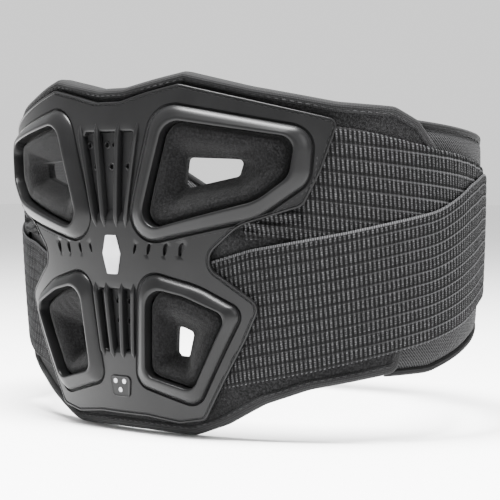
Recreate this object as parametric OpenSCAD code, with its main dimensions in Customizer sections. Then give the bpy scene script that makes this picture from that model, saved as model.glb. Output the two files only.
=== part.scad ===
/* [Waist ring] */
// Half the width of the ring, side to side, at the face of the back pad
ring_half_w = 165; // [160:1:170]
// Half the depth of the ring, spine to buckle side
ring_half_d = 122; // [118:1:126]
// How far the back leans outwards for each millimetre of height
lean_back = 0.07; // [0:0.01:0.1]
// How far the sides and the front lean outwards for each millimetre of height
lean_side = 0.025; // [0:0.005:0.05]
// Barrel curve of the ring: inward offset for each square millimetre of height
barrel = 0.0003; // [0:0.0001:0.0005]

/* [Moulded shell] */
// Thickness of the flat web of the shell
shell_wall = 2.4; // [2:0.1:2.8]
// Height of a window frame's crest above the web
frame_h = 4.5; // [3:0.5:6]
// Width of a spine rib at its crest
rib_w = 2.4; // [1.6:0.1:3]
// Height of a rib's crest above the web
rib_h = 2; // [1:0.5:3]
// Radius of the air holes in the spine panels
air_hole_r = 1.6; // [1:0.1:2]

/* [Soft layers] */
// Thickness of the padded back, liner and cover included
pad_t = 10; // [8:0.5:12]
// Thickness of the side and front panels
panel_t = 4; // [3:0.5:4]
// Width of the rolled edge binding
binding_w = 6; // [5:0.5:6]
// Thickness of the ribbed elastic
elastic_t = 1.6; // [1.2:0.1:1.6]

/* [Closure] */
// How far each front panel reaches past the front centre line
front_overlap = 30; // [26:1:32]
// Length of a strap's moulded pull tab
tab_l = 38; // [32:1:40]

/* [Hidden] */

// A place on the ring is [s, z]: the arc length from the spine, positive to the wearer's right,
// and the height. t is the distance outwards from the face of the back pad.
step = 10;           // longest facet along the ring
rows = 3;            // facets over the height of a sheet
arc_steps = 3;       // facets round a corner
sides = 6;           // facets round a piping
gap = 0.3;           // clearance between neighbouring pieces
seam = 0.2;          // clearance between layers that are sewn together
tool = 12;           // how far a cutting tool reaches past a sheet

cover_t = 0.9;                        // thickness of the cover cloth
liner_t = 1;                          // thickness of the lining mesh
binding_t = 0.4;                      // thickness of the binding tape
pad_trim = 1.6;                       // distance from the edge of the back to its layers
pad_end_t = 4.3;                      // thickness of the pad at its two ends
panel_out = -pad_end_t - 0.8;         // outer face of the side and front panels
piping_r = 2.2;                       // radius of the piping on the side and front panels
band_out = 0.8;                       // inner face of the inner elastic over the pad
strap_out = band_out + elastic_t + gap;
drop_t = pad_end_t + band_out + 0.5;  // inward step of the elastics off the pad
shell_in = band_out + elastic_t + 0.2;      // back face of the shell over the elastics
shell_out = shell_in + shell_wall;
crest = shell_out + frame_h;
patch_t = 0.7;                        // thickness of a loop field
hook_t = 0.7;                         // thickness of a hook patch
tab_t = 3;                            // thickness of a pull tab
// Outward step of the right panel over the left
lap_lift = panel_t + patch_t + hook_t + 3 * gap + seam;

fold_s = 262;                         // fold line between the back and a front panel
strap_fold_s = 300;                   // fold line of an outer strap
tab_s = 370;                          // end of the elastic, where the pull tab starts
slit = 0.15;                          // half of the slit between pieces at a fold line

// Corners of the outlines, clockwise, as [s, z, radius]. Those of the pad and the shell are right
// halves.
pad_half = [
    [10, 92, 30], [30, 96, 20], [52, 100, 8], [92, 90.5, 60], [140, 81.5, 60], [174, 79, 12],
    [190, 71, 10], [205, 52, 8], [178, -73, 8], [125, -82.5, 60], [98, -91.5, 40], [72, -105, 25],
    [50, -112.5, 20], [14, -111.5, 20]
];
shell_half = [
    [10, 83.5, 20], [28, 88, 20], [50, 92.5, 8], [140.5, 71, 5], [131, 43, 40], [121, 22.5, 8],
    [85, 11, 25], [62, -9.5, 9], [97, -34, 7], [88, -54, 30], [61, -102, 6], [43, -105, 8],
    [20, -102.5, 20]
];
upper_frame = [[35, 83, 18], [127, 65.7, 13], [124.5, 36, 14], [96, 15.6, 40], [9.6, -3.2, 16]];
upper_window = [[43, 72.5, 12], [117, 61, 8], [113.5, 39, 12], [96, 25.5, 30], [23, 6.6, 9]];
upper_vent = [[54, 53, 5], [84, 51, 5], [91, 49, 5], [87, 38, 5], [51, 31, 5]];
lower_frame = [[20.5, -14.5, 13], [60, -24, 60], [87, -37.5, 7], [57, -94.2, 10], [13.8, -83, 9]];
lower_window = [[27, -24.5, 11], [52, -29.5, 30], [78, -40, 6], [55.5, -84.8, 8], [23, -77, 7]];
lower_vent = [[42, -44, 4], [50, -45.5, 10], [59, -49, 4], [53, -69, 5], [40, -67, 5]];
upper_slot = [[-21, 66, 3], [21, 66, 3], [12, 15, 3], [-12, 15, 3]];
lower_slot = [[-14.5, -27, 3], [14.5, -27, 3], [12, -64, 3], [-12, -64, 3]];
centre_badge = [[-4, 5, 1], [4, 5, 1], [7, -6, 2], [4, -18, 1], [-4, -18, 1], [-7, -6, 2]];
lower_badge = [[-9, -79, 3], [9, -79, 3], [7, -92, 3], [-7, -92, 3]];
band = [
    [87, 19, 2], [112, 32, 4], [120, 41, 2], [121, 70, 3], [150, 66, 60], [203, 54.5, 60],
    [260, 46.5, 60], [300, 40, 60], [335, 27, 4], [335, -28, 4], [200, -25, 60], [124, -22, 3],
    [113, 5, 4], [87, 3, 2]
];
strap = [
    [58, -12, 3], [91, -2, 60], [144, 8, 60], [200, 20, 60], [232, 35, 40], [262, 42, 40],
    [300, 38, 60], [345, 27, 60], [420, 24, 4], [420, -24, 4], [345, -29, 60], [264, -35.5, 60],
    [196, -56, 60], [127, -71.5, 60], [58, -86, 3]
];

// Spine ribs of the right half, each from its top to its bottom end
upper_ribs = [[[24, 74], [11.5, 8]], [[9, 74], [4.7, 8]]];
lower_ribs = [[[16, -21.5], [12.3, -69.5]], [[6.5, -21.5], [4, -70]]];
teardrops = [18, 28, 39.5, 50];       // places of the slanted slots on the waist of the shell
upper_air_holes = [[-18, 58.5], [-3, 58.5], [3, 58.5], [18, 58.5], [-13, 45.5], [13, 45.5], [0, 45.5]];
lower_air_holes = [[-9.5, -34], [0, -34], [9.5, -34], [-8.5, -46], [0, -46], [8.5, -46]];

// ---- Ring ----

function ring_speed(phi) = norm([ring_half_w * cos(phi), ring_half_d * sin(phi)]) * PI / 180;
half_arc = [for (a = 0, s = 0; a <= 220; s = s + 2 * ring_speed(a + 1), a = a + 2) [s, a]];
arc_table = concat([for (i = [len(half_arc) - 1:-1:1]) -half_arc[i]], half_arc);
front_s = lookup(180, [for (e = half_arc) [e[1], e[0]]]);
wing_end = front_s + front_overlap;
wing = [
    [165, 74.5, 8], [250, 67, 60], [288, 64.5, 30], [338, 33, 30], [wing_end, 31, 16],
    [wing_end, -36, 16], [340, -42, 60], [285, -54, 60], [236, -67, 60], [205, -75, 40],
    [165, -76.5, 8]
];

function lean(phi) = lean_side + (lean_back - lean_side) * pow(max(0, cos(phi)), 2);
function normal(phi) = let (n = [ring_half_d * sin(phi), -ring_half_w * cos(phi)]) n / norm(n);
function wrap(s, z, t) =
    let (phi = lookup(s, arc_table), n = normal(phi), off = t + lean(phi) * z - barrel * z * z)
    [ring_half_w * sin(phi) + n.x * off, -ring_half_d * cos(phi) + n.y * off, z];
function smooth(a, b, x) = let (u = min(1, max(0, (x - a) / (b - a)))) u * u * (3 - 2 * u);

// ---- Layers, as distances t at a place s ----

function pad_in(s) = -pad_t + (pad_t - pad_end_t) * smooth(125, 165, abs(s));
function shell_back(s) = 0.2 + (shell_in - 0.2) * smooth(38, 50, abs(s));
function lap(s, lift) = lift * smooth(376, 412, s);
function drop(s) = drop_t * smooth(206, 236, s);
function panel_face(s, lift) = panel_out + lap(s, lift);
function band_face(s, lift) = band_out - drop(s) + lap(s, lift);
function strap_face(s, lift) =
    band_out + (strap_out - band_out) * smooth(98, 113, s) - drop(s) + lap(s, lift);

// ---- Flat outlines ----

function unit(v) = v / norm(v);
function flat(p) = [p.x, p.y];
function turned(v, a) = [v.x * cos(a) - v.y * sin(a), v.x * sin(a) + v.y * cos(a)];

// Arc that rounds the corner p
function corner_arc(before, p, after, steps) =
    let (
        u = unit(flat(before) - flat(p)),
        v = unit(flat(after) - flat(p)),
        half = acos(u * v) / 2,
        centre = flat(p) + unit(u + v) * p[2] / sin(half),
        from = flat(p) + u * p[2] / tan(half) - centre,
        way = sign(v.x * u.y - v.y * u.x)
    )
    [for (i = [0:steps]) centre + turned(from, way * (180 - 2 * half) * i / steps)];

// Closed outline through rounded corners, with its straight stretches cut into so many parts
function outline(c, parts = 1, steps = arc_steps) =
    let (
        n = len(c),
        arcs = [for (i = [0:n - 1]) corner_arc(c[(i + n - 1) % n], c[i], c[(i + 1) % n], steps)]
    )
    [for (i = [0:n - 1])
        let (a = arcs[i][steps], b = arcs[(i + 1) % n][0])
        each concat(arcs[i], [for (j = [1:1:parts - 1]) a + (b - a) * j / parts])];

// Corners moved inwards by d, or outwards where d is negative
function inset(c, d) =
    let (n = len(c))
    [for (i = [0:n - 1])
        let (
            a = unit(flat(c[i]) - flat(c[(i + n - 1) % n])),
            b = unit(flat(c[(i + 1) % n]) - flat(c[i])),
            na = [a.y, -a.x],
            nb = [b.y, -b.x],
            p = flat(c[i]) + d * (na + nb) / (1 + na * nb),
            convex = a.x * b.y < a.y * b.x
        )
        [p.x, p.y, max(0.5, c[i][2] + (convex ? -d : d))]];

function mirrored(c) = [for (i = [len(c) - 1:-1:0]) [-c[i].x, c[i].y, c[i][2]]];
function both_halves(c) = concat(c, mirrored(c));
pad = both_halves(pad_half);
shell = both_halves(shell_half);
function middle(c) = let (n = len(c)) [for (k = [0:1]) [for (p = c) p[k]] * [for (p = c) 1 / n]];

// Lowest and highest point of an outline on the upright line at s
function span(path, s) =
    let (
        n = len(path),
        z = [for (i = [0:n - 1])
            let (a = path[i], b = path[(i + 1) % n])
            if ((a.x <= s) != (b.x <= s)) a.y + (b.y - a.y) * (s - a.x) / (b.x - a.x)]
    )
    [min(z), max(z)];
function stations(s0, s1) = let (k = ceil((s1 - s0) / step)) [for (i = [0:k]) s0 + (s1 - s0) * i / k];

// ---- Solids wrapped round the ring ----

// Skin over a row of rings of points, each ring being the same number of points
module skin(rings, closed = false) {
    m = len(rings);
    n = len(rings[0]);
    polyhedron(
        points = [for (r = rings) each r],
        faces = concat(
            [for (i = [0:m - (closed ? 1 : 2)], j = [0:n - 1])
                let (a = i * n, b = ((i + 1) % m) * n, k = (j + 1) % n)
                each [[a + j, b + k, b + j], [a + j, a + k, b + k]]],
            closed ? [] : [[for (j = [n - 1:-1:0]) j], [for (j = [0:n - 1]) (m - 1) * n + j]]
        )
    );
}

// Sheet that fills an outline from s0 to s1, between the layers inner(s) and outer(s)
module sheet(path, s0, s1, inner, outer, rows = rows) {
    function edge(s, z0, z1, t) = [for (i = [0:rows]) wrap(s, z0 + (z1 - z0) * i / rows, t)];
    skin([for (s = stations(s0, s1))
        let (z = span(path, s))
        concat(edge(s, z[0], z[1], outer(s)), edge(s, z[1], z[0], inner(s)))]);
}

// Block or cutting tool with the plan of an outline
module prism(path, t0, t1) {
    n = len(path);
    c = middle(path);
    polyhedron(
        points = concat(
            [for (p = path) wrap(p.x, p.y, t1)],
            [for (p = path) wrap(p.x, p.y, t0)],
            [wrap(c.x, c.y, t1), wrap(c.x, c.y, t0)]
        ),
        faces = [for (i = [0:n - 1])
            let (k = (i + 1) % n)
            each [[i, k, 2 * n], [n + k, n + i, 2 * n + 1], [k, i, n + i], [k, n + i, n + k]]]
    );
}

// Ring or strip between two lines with as many points. section(s) is its cross-section, a list of
// [share of the way from the first line to the second, t].
module edging(first, second, section, closed = true) {
    skin([for (i = [0:len(first) - 1])
        let (a = first[i], b = second[i])
        [for (q = section(a.x)) let (p = a + (b - a) * q[0]) wrap(p.x, p.y, q[1])]], closed);
}

// Straight bar between two places, narrower at its crest
module bar(a, b, w, t0, t1) {
    k = ceil(norm(b - a) / step);
    side = turned(unit(b - a), 90) * w / 2;
    skin([for (i = [0:k])
        let (p = a + (b - a) * i / k, u = p + side, v = p - side, cu = p + side * 0.7, cv = p - side * 0.7)
        [wrap(v.x, v.y, t0), wrap(cv.x, cv.y, t1), wrap(cu.x, cu.y, t1), wrap(u.x, u.y, t0)]]);
}

// Makes one mesh of what it holds, because the cuts follow the curve of the ring
module carved() resize([0, 0, 0]) children();
module both_sides() {
    children();
    mirror([1, 0, 0]) children();
}
module left() mirror([1, 0, 0]) children();

// ---- Moulded shell and what it holds ----

module window_frame(frame, window) {
    edging(outline(frame, 3), outline(window, 3), function (s) [
        [0, shell_in + 0.6], [1, shell_in], [1, crest - 0.8], [0.75, crest], [0.3, shell_out + 2.6],
        [0, shell_out - 0.6]
    ]);
}

module window_cut(frame, window) {
    a = outline(frame, 3);
    b = outline(window, 3);
    prism([for (i = [0:len(a) - 1]) (a[i] + b[i]) / 2], -tool, crest + tool);
}

module back_shell() {
    color([0.12, 0.12, 0.13]) carved() {
        difference() {
            intersection() {
                sheet([[-145, 96], [145, 96], [145, -108], [-145, -108]], -144, 144,
                    function (s) shell_back(s), function (s) shell_out, 2 * rows);
                prism(outline(shell, 3), -3 * tool, 3 * tool);
            }
            both_sides() {
                window_cut(upper_frame, upper_window);
                window_cut(lower_frame, lower_window);
                for (s = teardrops)
                    bar([s - 1.3, -7], [s + 1.3, 1.5], 2.4, shell_in - 2.8, crest);
            }
            prism(outline(upper_slot, 3), -tool, tool);
            prism(outline(lower_slot, 3), -tool, tool);
        }
        both_sides() {
            window_frame(upper_frame, upper_window);
            window_frame(lower_frame, lower_window);
            for (r = concat(upper_ribs, lower_ribs))
                bar(r[0], r[1], rib_w * 1.4, shell_in + 0.5, shell_out + rib_h);
        }
    }
}

module centre_emblem() {
    color([0.75, 0.75, 0.76]) prism(outline(centre_badge, 2), shell_out + 0.1, shell_out + 1);
}

module lower_emblem() {
    color([0.05, 0.05, 0.05]) prism(outline(lower_badge, 2), shell_out + 0.1, shell_out + 0.9);
}

module spine_vent_panel(slot, holes) {
    t = shell_in - gap;
    carved() difference() {
        prism(outline(inset(slot, gap), 3), gap, t);
        for (h = holes)
            prism([for (a = [0:45:315]) h + air_hole_r * [cos(a), -sin(a)]], -tool, tool);
    }
}

module spine_vent_panel_upper() {
    color([0.2, 0.2, 0.21]) spine_vent_panel(upper_slot, upper_air_holes);
}

module spine_vent_panel_lower() {
    color([0.2, 0.2, 0.21]) spine_vent_panel(lower_slot, lower_air_holes);
}

// Soft cup that lines a window and falls away to the vent
module vent_cup(window, vent) {
    edging(outline(inset(window, 0.4), 4), outline(vent, 4), function (s) [
        [0, gap], [1, gap], [1, 1], [0.6, 4.2], [0.25, crest - 2.6], [0, crest - 3]
    ]);
}

module vent_cup_upper_right() { color([0.08, 0.08, 0.08]) vent_cup(upper_window, upper_vent); }
module vent_cup_upper_left() { color([0.08, 0.08, 0.08]) left() vent_cup(upper_window, upper_vent); }
module vent_cup_lower_right() { color([0.08, 0.08, 0.08]) vent_cup(lower_window, lower_vent); }
module vent_cup_lower_left() { color([0.08, 0.08, 0.08]) left() vent_cup(lower_window, lower_vent); }

// ---- Padded back ----

module pad_layer(inner, outer) {
    carved() difference() {
        sheet(outline(inset(pad, pad_trim)), -202, 202, inner, outer);
        both_sides() {
            prism(outline(upper_vent, 2), -pad_t - tool, tool);
            prism(outline(lower_vent, 2), -pad_t - tool, tool);
        }
    }
}

module back_cover() {
    color([0.1, 0.1, 0.1]) pad_layer(function (s) -cover_t, function (s) 0);
}

module foam_core() {
    color([0.3, 0.3, 0.32])
        pad_layer(function (s) pad_in(s) + liner_t + seam, function (s) -cover_t - seam);
}

module inner_liner() {
    color([0.15, 0.15, 0.16]) pad_layer(function (s) pad_in(s), function (s) pad_in(s) + liner_t);
}

// Tape folded over the edge of the padded back
module back_binding() {
    color([0.06, 0.06, 0.06])
        edging(outline(pad, 3, 1), outline(inset(pad, binding_w), 3, 1), function (s)
            let (out = seam + binding_t, back = pad_in(s) - seam)
            [[0, back - binding_t], [1, back - binding_t], [1, back], [0.2, back],
                [0.2, seam], [1, seam], [1, out], [0, out]]);
}

// ---- Side and front panels ----

module panel(s0, s1, lift) {
    sheet(outline(inset(wing, 2 * piping_r + 0.1)), s0, s1,
        function (s) panel_face(s, lift) - panel_t, function (s) panel_face(s, lift));
}

function round_section(s, lift) =
    let (mid = panel_face(s, lift) - panel_t / 2)
    [for (a = [0:360 / sides:359]) [(1 - cos(a)) / 2, mid - piping_r * sin(a)]];

// Piping along the top edge of a panel, where edge is 1, or its bottom edge, where it is 0
module straight_piping(s0, s1, edge) {
    whole = outline(wing);
    trimmed = outline(inset(wing, 2 * piping_r));
    places = stations(s0, s1);
    edging(
        [for (s = places) [s, span(edge == 1 ? whole : trimmed, s)[edge]]],
        [for (s = places) [s, span(edge == 1 ? trimmed : whole, s)[edge]]],
        function (s) round_section(s, 0), false
    );
}

// Piping round the end of a front panel, from its fold line and back
module end_piping(s0, lift) {
    a = outline(wing, 8);
    b = outline(inset(wing, 2 * piping_r), 8);
    here = [for (i = [0:len(a) - 1]) if (min(a[i].x, b[i].x) > s0) i];
    edging(
        concat([[s0, span(a, s0)[1]]], [for (i = here) a[i]], [[s0, span(a, s0)[0]]]),
        concat([[s0, span(b, s0)[1]]], [for (i = here) b[i]], [[s0, span(b, s0)[0]]]),
        function (s) round_section(s, lift), false
    );
}

module side_panel() panel(170, fold_s - slit, 0);
module side_panel_right() { color([0.14, 0.14, 0.14]) side_panel(); }
module side_panel_left() { color([0.14, 0.14, 0.14]) left() side_panel(); }

module side_piping() {
    straight_piping(173, fold_s - slit, 0);
    straight_piping(173, fold_s - slit, 1);
}
module side_piping_right() { color([0.06, 0.06, 0.06]) side_piping(); }
module side_piping_left() { color([0.06, 0.06, 0.06]) left() side_piping(); }

module front_panel(lift) panel(fold_s + slit, wing_end - 2 * piping_r - 0.2, lift);
module front_panel_right() { color([0.14, 0.14, 0.14]) front_panel(lap_lift); }
module front_panel_left() { color([0.14, 0.14, 0.14]) left() front_panel(0); }

module front_piping_right() { color([0.06, 0.06, 0.06]) end_piping(fold_s + slit, lap_lift); }
module front_piping_left() { color([0.06, 0.06, 0.06]) left() end_piping(fold_s + slit, 0); }

// ---- Ribbed elastics ----

module inner_band(s0, s1, lift) {
    sheet(outline(band), s0, s1,
        function (s) band_face(s, lift), function (s) band_face(s, lift) + elastic_t);
}

module inner_band_rear() inner_band(87.1, fold_s - slit, 0);
module inner_band_rear_right() { color([0.2, 0.2, 0.2]) inner_band_rear(); }
module inner_band_rear_left() { color([0.2, 0.2, 0.2]) left() inner_band_rear(); }

module inner_band_front() inner_band(fold_s + slit, 334.9, 0);
module inner_band_front_right() { color([0.2, 0.2, 0.2]) inner_band_front(); }
module inner_band_front_left() { color([0.2, 0.2, 0.2]) left() inner_band_front(); }

module strap_part(s0, s1, lift) {
    sheet(outline(strap), s0, s1,
        function (s) strap_face(s, lift), function (s) strap_face(s, lift) + elastic_t);
}

// Rear length of a strap, cut away round the lower window
module strap_rear() {
    carved() difference() {
        strap_part(58.1, fold_s - slit, 0);
        prism(outline(inset(lower_window, -1), 3), -tool, tool);
    }
}
module strap_rear_right() { color([0.25, 0.25, 0.25]) strap_rear(); }
module strap_rear_left() { color([0.25, 0.25, 0.25]) left() strap_rear(); }

module strap_mid() strap_part(fold_s + slit, strap_fold_s - slit, 0);
module strap_mid_right() { color([0.25, 0.25, 0.25]) strap_mid(); }
module strap_mid_left() { color([0.25, 0.25, 0.25]) left() strap_mid(); }

module strap_front(lift) strap_part(strap_fold_s + slit, tab_s, lift);
module strap_front_right() { color([0.25, 0.25, 0.25]) strap_front(lap_lift); }
module strap_front_left() { color([0.25, 0.25, 0.25]) left() strap_front(0); }

// ---- Closure ----

// Flat patch with rounded corners: inner and outer are measured from the layer base(s)
module patch(s0, s1, half_h, r, inner, outer, base) {
    sheet(outline([[s0, half_h, r], [s1, half_h, r], [s1, -half_h, r], [s0, -half_h, r]]),
        s0 + 0.01, s1 - 0.01, function (s) base(s) + inner, function (s) base(s) + outer);
}

module pull_tab(lift) {
    patch(tab_s + 0.2, tab_s + tab_l, 22, 8, 0, tab_t, function (s) strap_face(s, lift));
}
module pull_tab_right() { color([0.1, 0.1, 0.1]) pull_tab(lap_lift); }
module pull_tab_left() { color([0.1, 0.1, 0.1]) left() pull_tab(0); }

module strap_hook(lift) {
    patch(tab_s - 8, tab_s + tab_l - 6, 18, 4, -seam - hook_t, -seam, function (s) strap_face(s, lift));
}
module strap_hook_right() { color([0.3, 0.3, 0.3]) strap_hook(lap_lift); }
module strap_hook_left() { color([0.3, 0.3, 0.3]) left() strap_hook(0); }

module strap_landing(lift) {
    patch(338, tab_s + tab_l + 6, 24, 4, gap, gap + patch_t, function (s) panel_face(s, lift));
}
module strap_landing_right() { color([0.16, 0.16, 0.16]) strap_landing(lap_lift); }
module strap_landing_left() { color([0.16, 0.16, 0.16]) left() strap_landing(0); }

// Loop field on the outer face of the left front panel
module closure_loop_patch() {
    color([0.16, 0.16, 0.16]) left()
        patch(front_s - front_overlap + 4, wing_end - 8, 24, 4, gap, gap + patch_t,
            function (s) panel_face(s, 0));
}

// Hook patch on the inner face of the right front panel
module closure_hook_patch() {
    color([0.3, 0.3, 0.3])
        patch(front_s - front_overlap + 8, wing_end - 8, 22, 4, -panel_t - seam - hook_t, -panel_t - seam,
            function (s) panel_face(s, lap_lift));
}

back_shell();
centre_emblem();
lower_emblem();
spine_vent_panel_upper();
spine_vent_panel_lower();
vent_cup_upper_right();
vent_cup_upper_left();
vent_cup_lower_right();
vent_cup_lower_left();
back_cover();
foam_core();
inner_liner();
back_binding();
side_panel_right();
side_panel_left();
side_piping_right();
side_piping_left();
inner_band_rear_right();
inner_band_rear_left();
strap_rear_right();
strap_rear_left();
front_panel_right();
front_panel_left();
front_piping_right();
front_piping_left();
inner_band_front_right();
inner_band_front_left();
strap_mid_right();
strap_mid_left();
strap_landing_right();
strap_landing_left();
closure_hook_patch();
closure_loop_patch();
strap_front_right();
strap_front_left();
pull_tab_right();
pull_tab_left();
strap_hook_right();
strap_hook_left();
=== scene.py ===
import math

import bmesh
import bpy
import numpy as np
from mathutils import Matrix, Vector
from mathutils.geometry import delaunay_2d_cdt


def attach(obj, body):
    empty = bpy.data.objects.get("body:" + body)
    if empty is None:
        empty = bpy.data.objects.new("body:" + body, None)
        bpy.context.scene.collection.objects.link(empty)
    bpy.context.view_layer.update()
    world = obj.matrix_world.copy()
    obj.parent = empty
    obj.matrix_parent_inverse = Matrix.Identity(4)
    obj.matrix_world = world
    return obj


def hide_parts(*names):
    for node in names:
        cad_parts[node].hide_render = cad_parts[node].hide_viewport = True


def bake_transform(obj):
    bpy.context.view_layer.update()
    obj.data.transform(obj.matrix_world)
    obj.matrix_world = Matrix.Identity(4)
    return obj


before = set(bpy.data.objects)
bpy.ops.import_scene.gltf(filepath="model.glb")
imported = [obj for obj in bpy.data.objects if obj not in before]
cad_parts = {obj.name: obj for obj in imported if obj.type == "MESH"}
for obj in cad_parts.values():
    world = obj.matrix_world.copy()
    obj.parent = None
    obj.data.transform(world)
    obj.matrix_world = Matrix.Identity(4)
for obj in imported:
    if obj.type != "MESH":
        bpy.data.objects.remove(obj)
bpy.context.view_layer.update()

# Places on the belt are in millimetres: s is the arc length round the waist ring from the spine,
# positive to the wearer's right, z is the height, and t the distance outwards from the pad's face.
MM = 0.001
HALF_W, HALF_D = 165.0, 122.0
LEAN_BACK, LEAN_SIDE, BARREL = 0.07, 0.025, 0.0003
UV_MM = 100.0                  # millimetres of surface to one UV unit

PAD_T, PAD_END_T = 10.0, 4.3
ELASTIC_T = 1.6
BAND_OUT = 0.8
STRAP_OUT = 2.7
DROP_T = 5.6
PANEL_OUT, PANEL_T = -5.1, 4.0
PIPING_R = 2.2
SHELL_OUT = 5.0
LAP_LIFT = 6.5                 # outward step of the right panel over the left
BAND_ROW, STRAP_ROW, STRAP_ROWS = 8.5, 7.0, 11
CUP_GAP = 0.4                  # clearance between a cup and its window
FOLD_HALF = 17.0               # how far each way from a fold line fold_with works out side points; nothing bends
FOLD_S, STRAP_FOLD_S = 262.0, 300.0
TAB_S, TAB_L = 370.0, 38.0


# ---- The waist ring ----

_phi = np.radians(np.linspace(-240, 240, 9601))
_speed = np.hypot(HALF_W * np.cos(_phi), HALF_D * np.sin(_phi))
_arc = np.concatenate([[0], np.cumsum((_speed[1:] + _speed[:-1]) / 2 * np.diff(_phi))])
_arc -= np.interp(0, _phi, _arc)
FRONT_S = float(np.interp(math.pi, _phi, _arc))
WING_END = FRONT_S + 30


def wrap(s, z, t):
    """Points in metres at places on the ring."""
    s, z, t = np.broadcast_arrays(np.asarray(s, float), np.asarray(z, float), np.asarray(t, float))
    phi = np.interp(s, _arc, _phi)
    nx, ny = HALF_D * np.sin(phi), -HALF_W * np.cos(phi)
    size = np.hypot(nx, ny)
    lean = LEAN_SIDE + (LEAN_BACK - LEAN_SIDE) * np.clip(np.cos(phi), 0, None) ** 2
    off = t + lean * z - BARREL * z * z
    x = HALF_W * np.sin(phi) + nx / size * off
    y = -HALF_D * np.cos(phi) + ny / size * off
    return np.stack([x, y, z], -1) * MM


def smooth(a, b, x):
    u = np.clip((np.asarray(x, float) - a) / (b - a), 0, 1)
    return u * u * (3 - 2 * u)


def pad_in(s):
    return -PAD_T + (PAD_T - PAD_END_T) * smooth(125, 165, np.abs(s))


def lap(s, lift):
    return lift * smooth(376, 412, s)


def drop(s):
    """The stretched elastics bridge from the end of the pad to the panel."""
    return DROP_T * smooth(204, 260, s)


def panel_face(s, lift):
    return PANEL_OUT + lap(s, lift)


def band_face(s, lift):
    return BAND_OUT - drop(s) + lap(s, lift)


def strap_face(s, lift):
    return BAND_OUT + (STRAP_OUT - BAND_OUT) * smooth(94, 112, s) - drop(s) + lap(s, lift)


# ---- Outlines, clockwise, as corners [s, z, radius] ----

def mirrored(c):
    return [[-p[0], p[1], p[2]] for p in reversed(c)]


PAD_HALF = [
    [10, 92, 30], [30, 96, 20], [52, 100, 8], [92, 90.5, 60], [140, 81.5, 60], [174, 79, 12],
    [190, 71, 10], [205, 52, 8], [178, -73, 8], [125, -82.5, 60], [98, -91.5, 40], [72, -105, 25],
    [50, -112.5, 20], [14, -111.5, 20],
]
SHELL_HALF = [
    [10, 83.5, 20], [28, 88, 20], [50, 92.5, 8], [140.5, 71, 5], [131, 43, 40], [121, 22.5, 8],
    [85, 11, 25], [62, -9.5, 9], [97, -34, 7], [88, -54, 30], [61, -102, 6], [43, -105, 8],
    [20, -102.5, 20],
]
PAD = PAD_HALF + mirrored(PAD_HALF)
SHELL = SHELL_HALF + mirrored(SHELL_HALF)
WINDOWS = {
    "upper": (
        [[35, 83, 18], [127, 65.7, 13], [124.5, 36, 14], [96, 15.6, 40], [9.6, -3.2, 16]],
        [[43, 72.5, 12], [117, 61, 8], [113.5, 39, 12], [96, 25.5, 30], [23, 6.6, 9]],
        [[49.5, 50.5, 2.5], [78, 49.4, 2.5], [86, 48.8, 2.5], [83, 39.5, 3], [46.5, 32, 3]],
    ),
    "lower": (
        [[20.5, -14.5, 13], [60, -24, 60], [87, -37.5, 7], [57, -94.2, 10], [13.8, -83, 9]],
        [[27, -24.5, 11], [52, -29.5, 30], [78, -40, 6], [55.5, -84.8, 8], [23, -77, 7]],
        [[38, -48, 2.5], [44, -49, 6], [50.5, -51.5, 2.5], [46, -66.5, 3], [36, -66, 3]],
    ),
}
SLOTS = {
    "upper": [[-21, 66, 3], [21, 66, 3], [12, 15, 3], [-12, 15, 3]],
    "lower": [[-14.5, -27, 3], [14.5, -27, 3], [12, -64, 3], [-12, -64, 3]],
}
RIBS = [
    ((24, 74), (11.5, 8)), ((9, 74), (4.7, 8)),
    ((16, -21.5), (12.3, -69.5)), ((6.5, -21.5), (4, -70)),
]
TEARDROPS = [18, 28, 39.5, 50]
AIR_HOLES = {
    "upper": [(-18, 58.5), (-3, 58.5), (3, 58.5), (18, 58.5), (-13, 45.5), (0, 45.5), (13, 45.5)],
    "lower": [(-9.5, -34), (0, -34), (9.5, -34), (-8.5, -46), (0, -46), (8.5, -46)],
}
BADGE_UPPER = [[-4, 5, 1], [4, 5, 1], [7, -6, 2], [4, -18, 1], [-4, -18, 1], [-7, -6, 2]]
BADGE_LOWER = [[-9, -79, 3], [9, -79, 3], [7, -92, 3], [-7, -92, 3]]
WING = [
    [165, 74.5, 8], [250, 67, 60], [288, 64.5, 30], [338, 33, 30], [WING_END, 31, 16],
    [WING_END, -36, 16], [340, -42, 60], [285, -54, 60], [236, -67, 60], [205, -75, 40],
    [165, -76.5, 8],
]
BAND = [
    [87, 19, 2], [112, 32, 4], [120, 41, 2], [121, 70, 3], [150, 66, 60], [203, 54.5, 60],
    [260, 46.5, 60], [300, 40, 60], [335, 27, 4], [335, -28, 4], [200, -25, 60], [124, -22, 3],
    [113, 5, 4], [87, 3, 2],
]
STRAP = [
    [58, -12, 3], [91, -2, 60], [144, 8, 60], [200, 20, 60], [232, 35, 40], [262, 42, 40],
    [300, 38, 60], [345, 27, 60], [420, 24, 4], [420, -24, 4], [345, -29, 60], [264, -35.5, 60],
    [196, -56, 60], [127, -71.5, 60], [58, -86, 3],
]


def unit(v):
    return v / np.hypot(*v)


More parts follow.
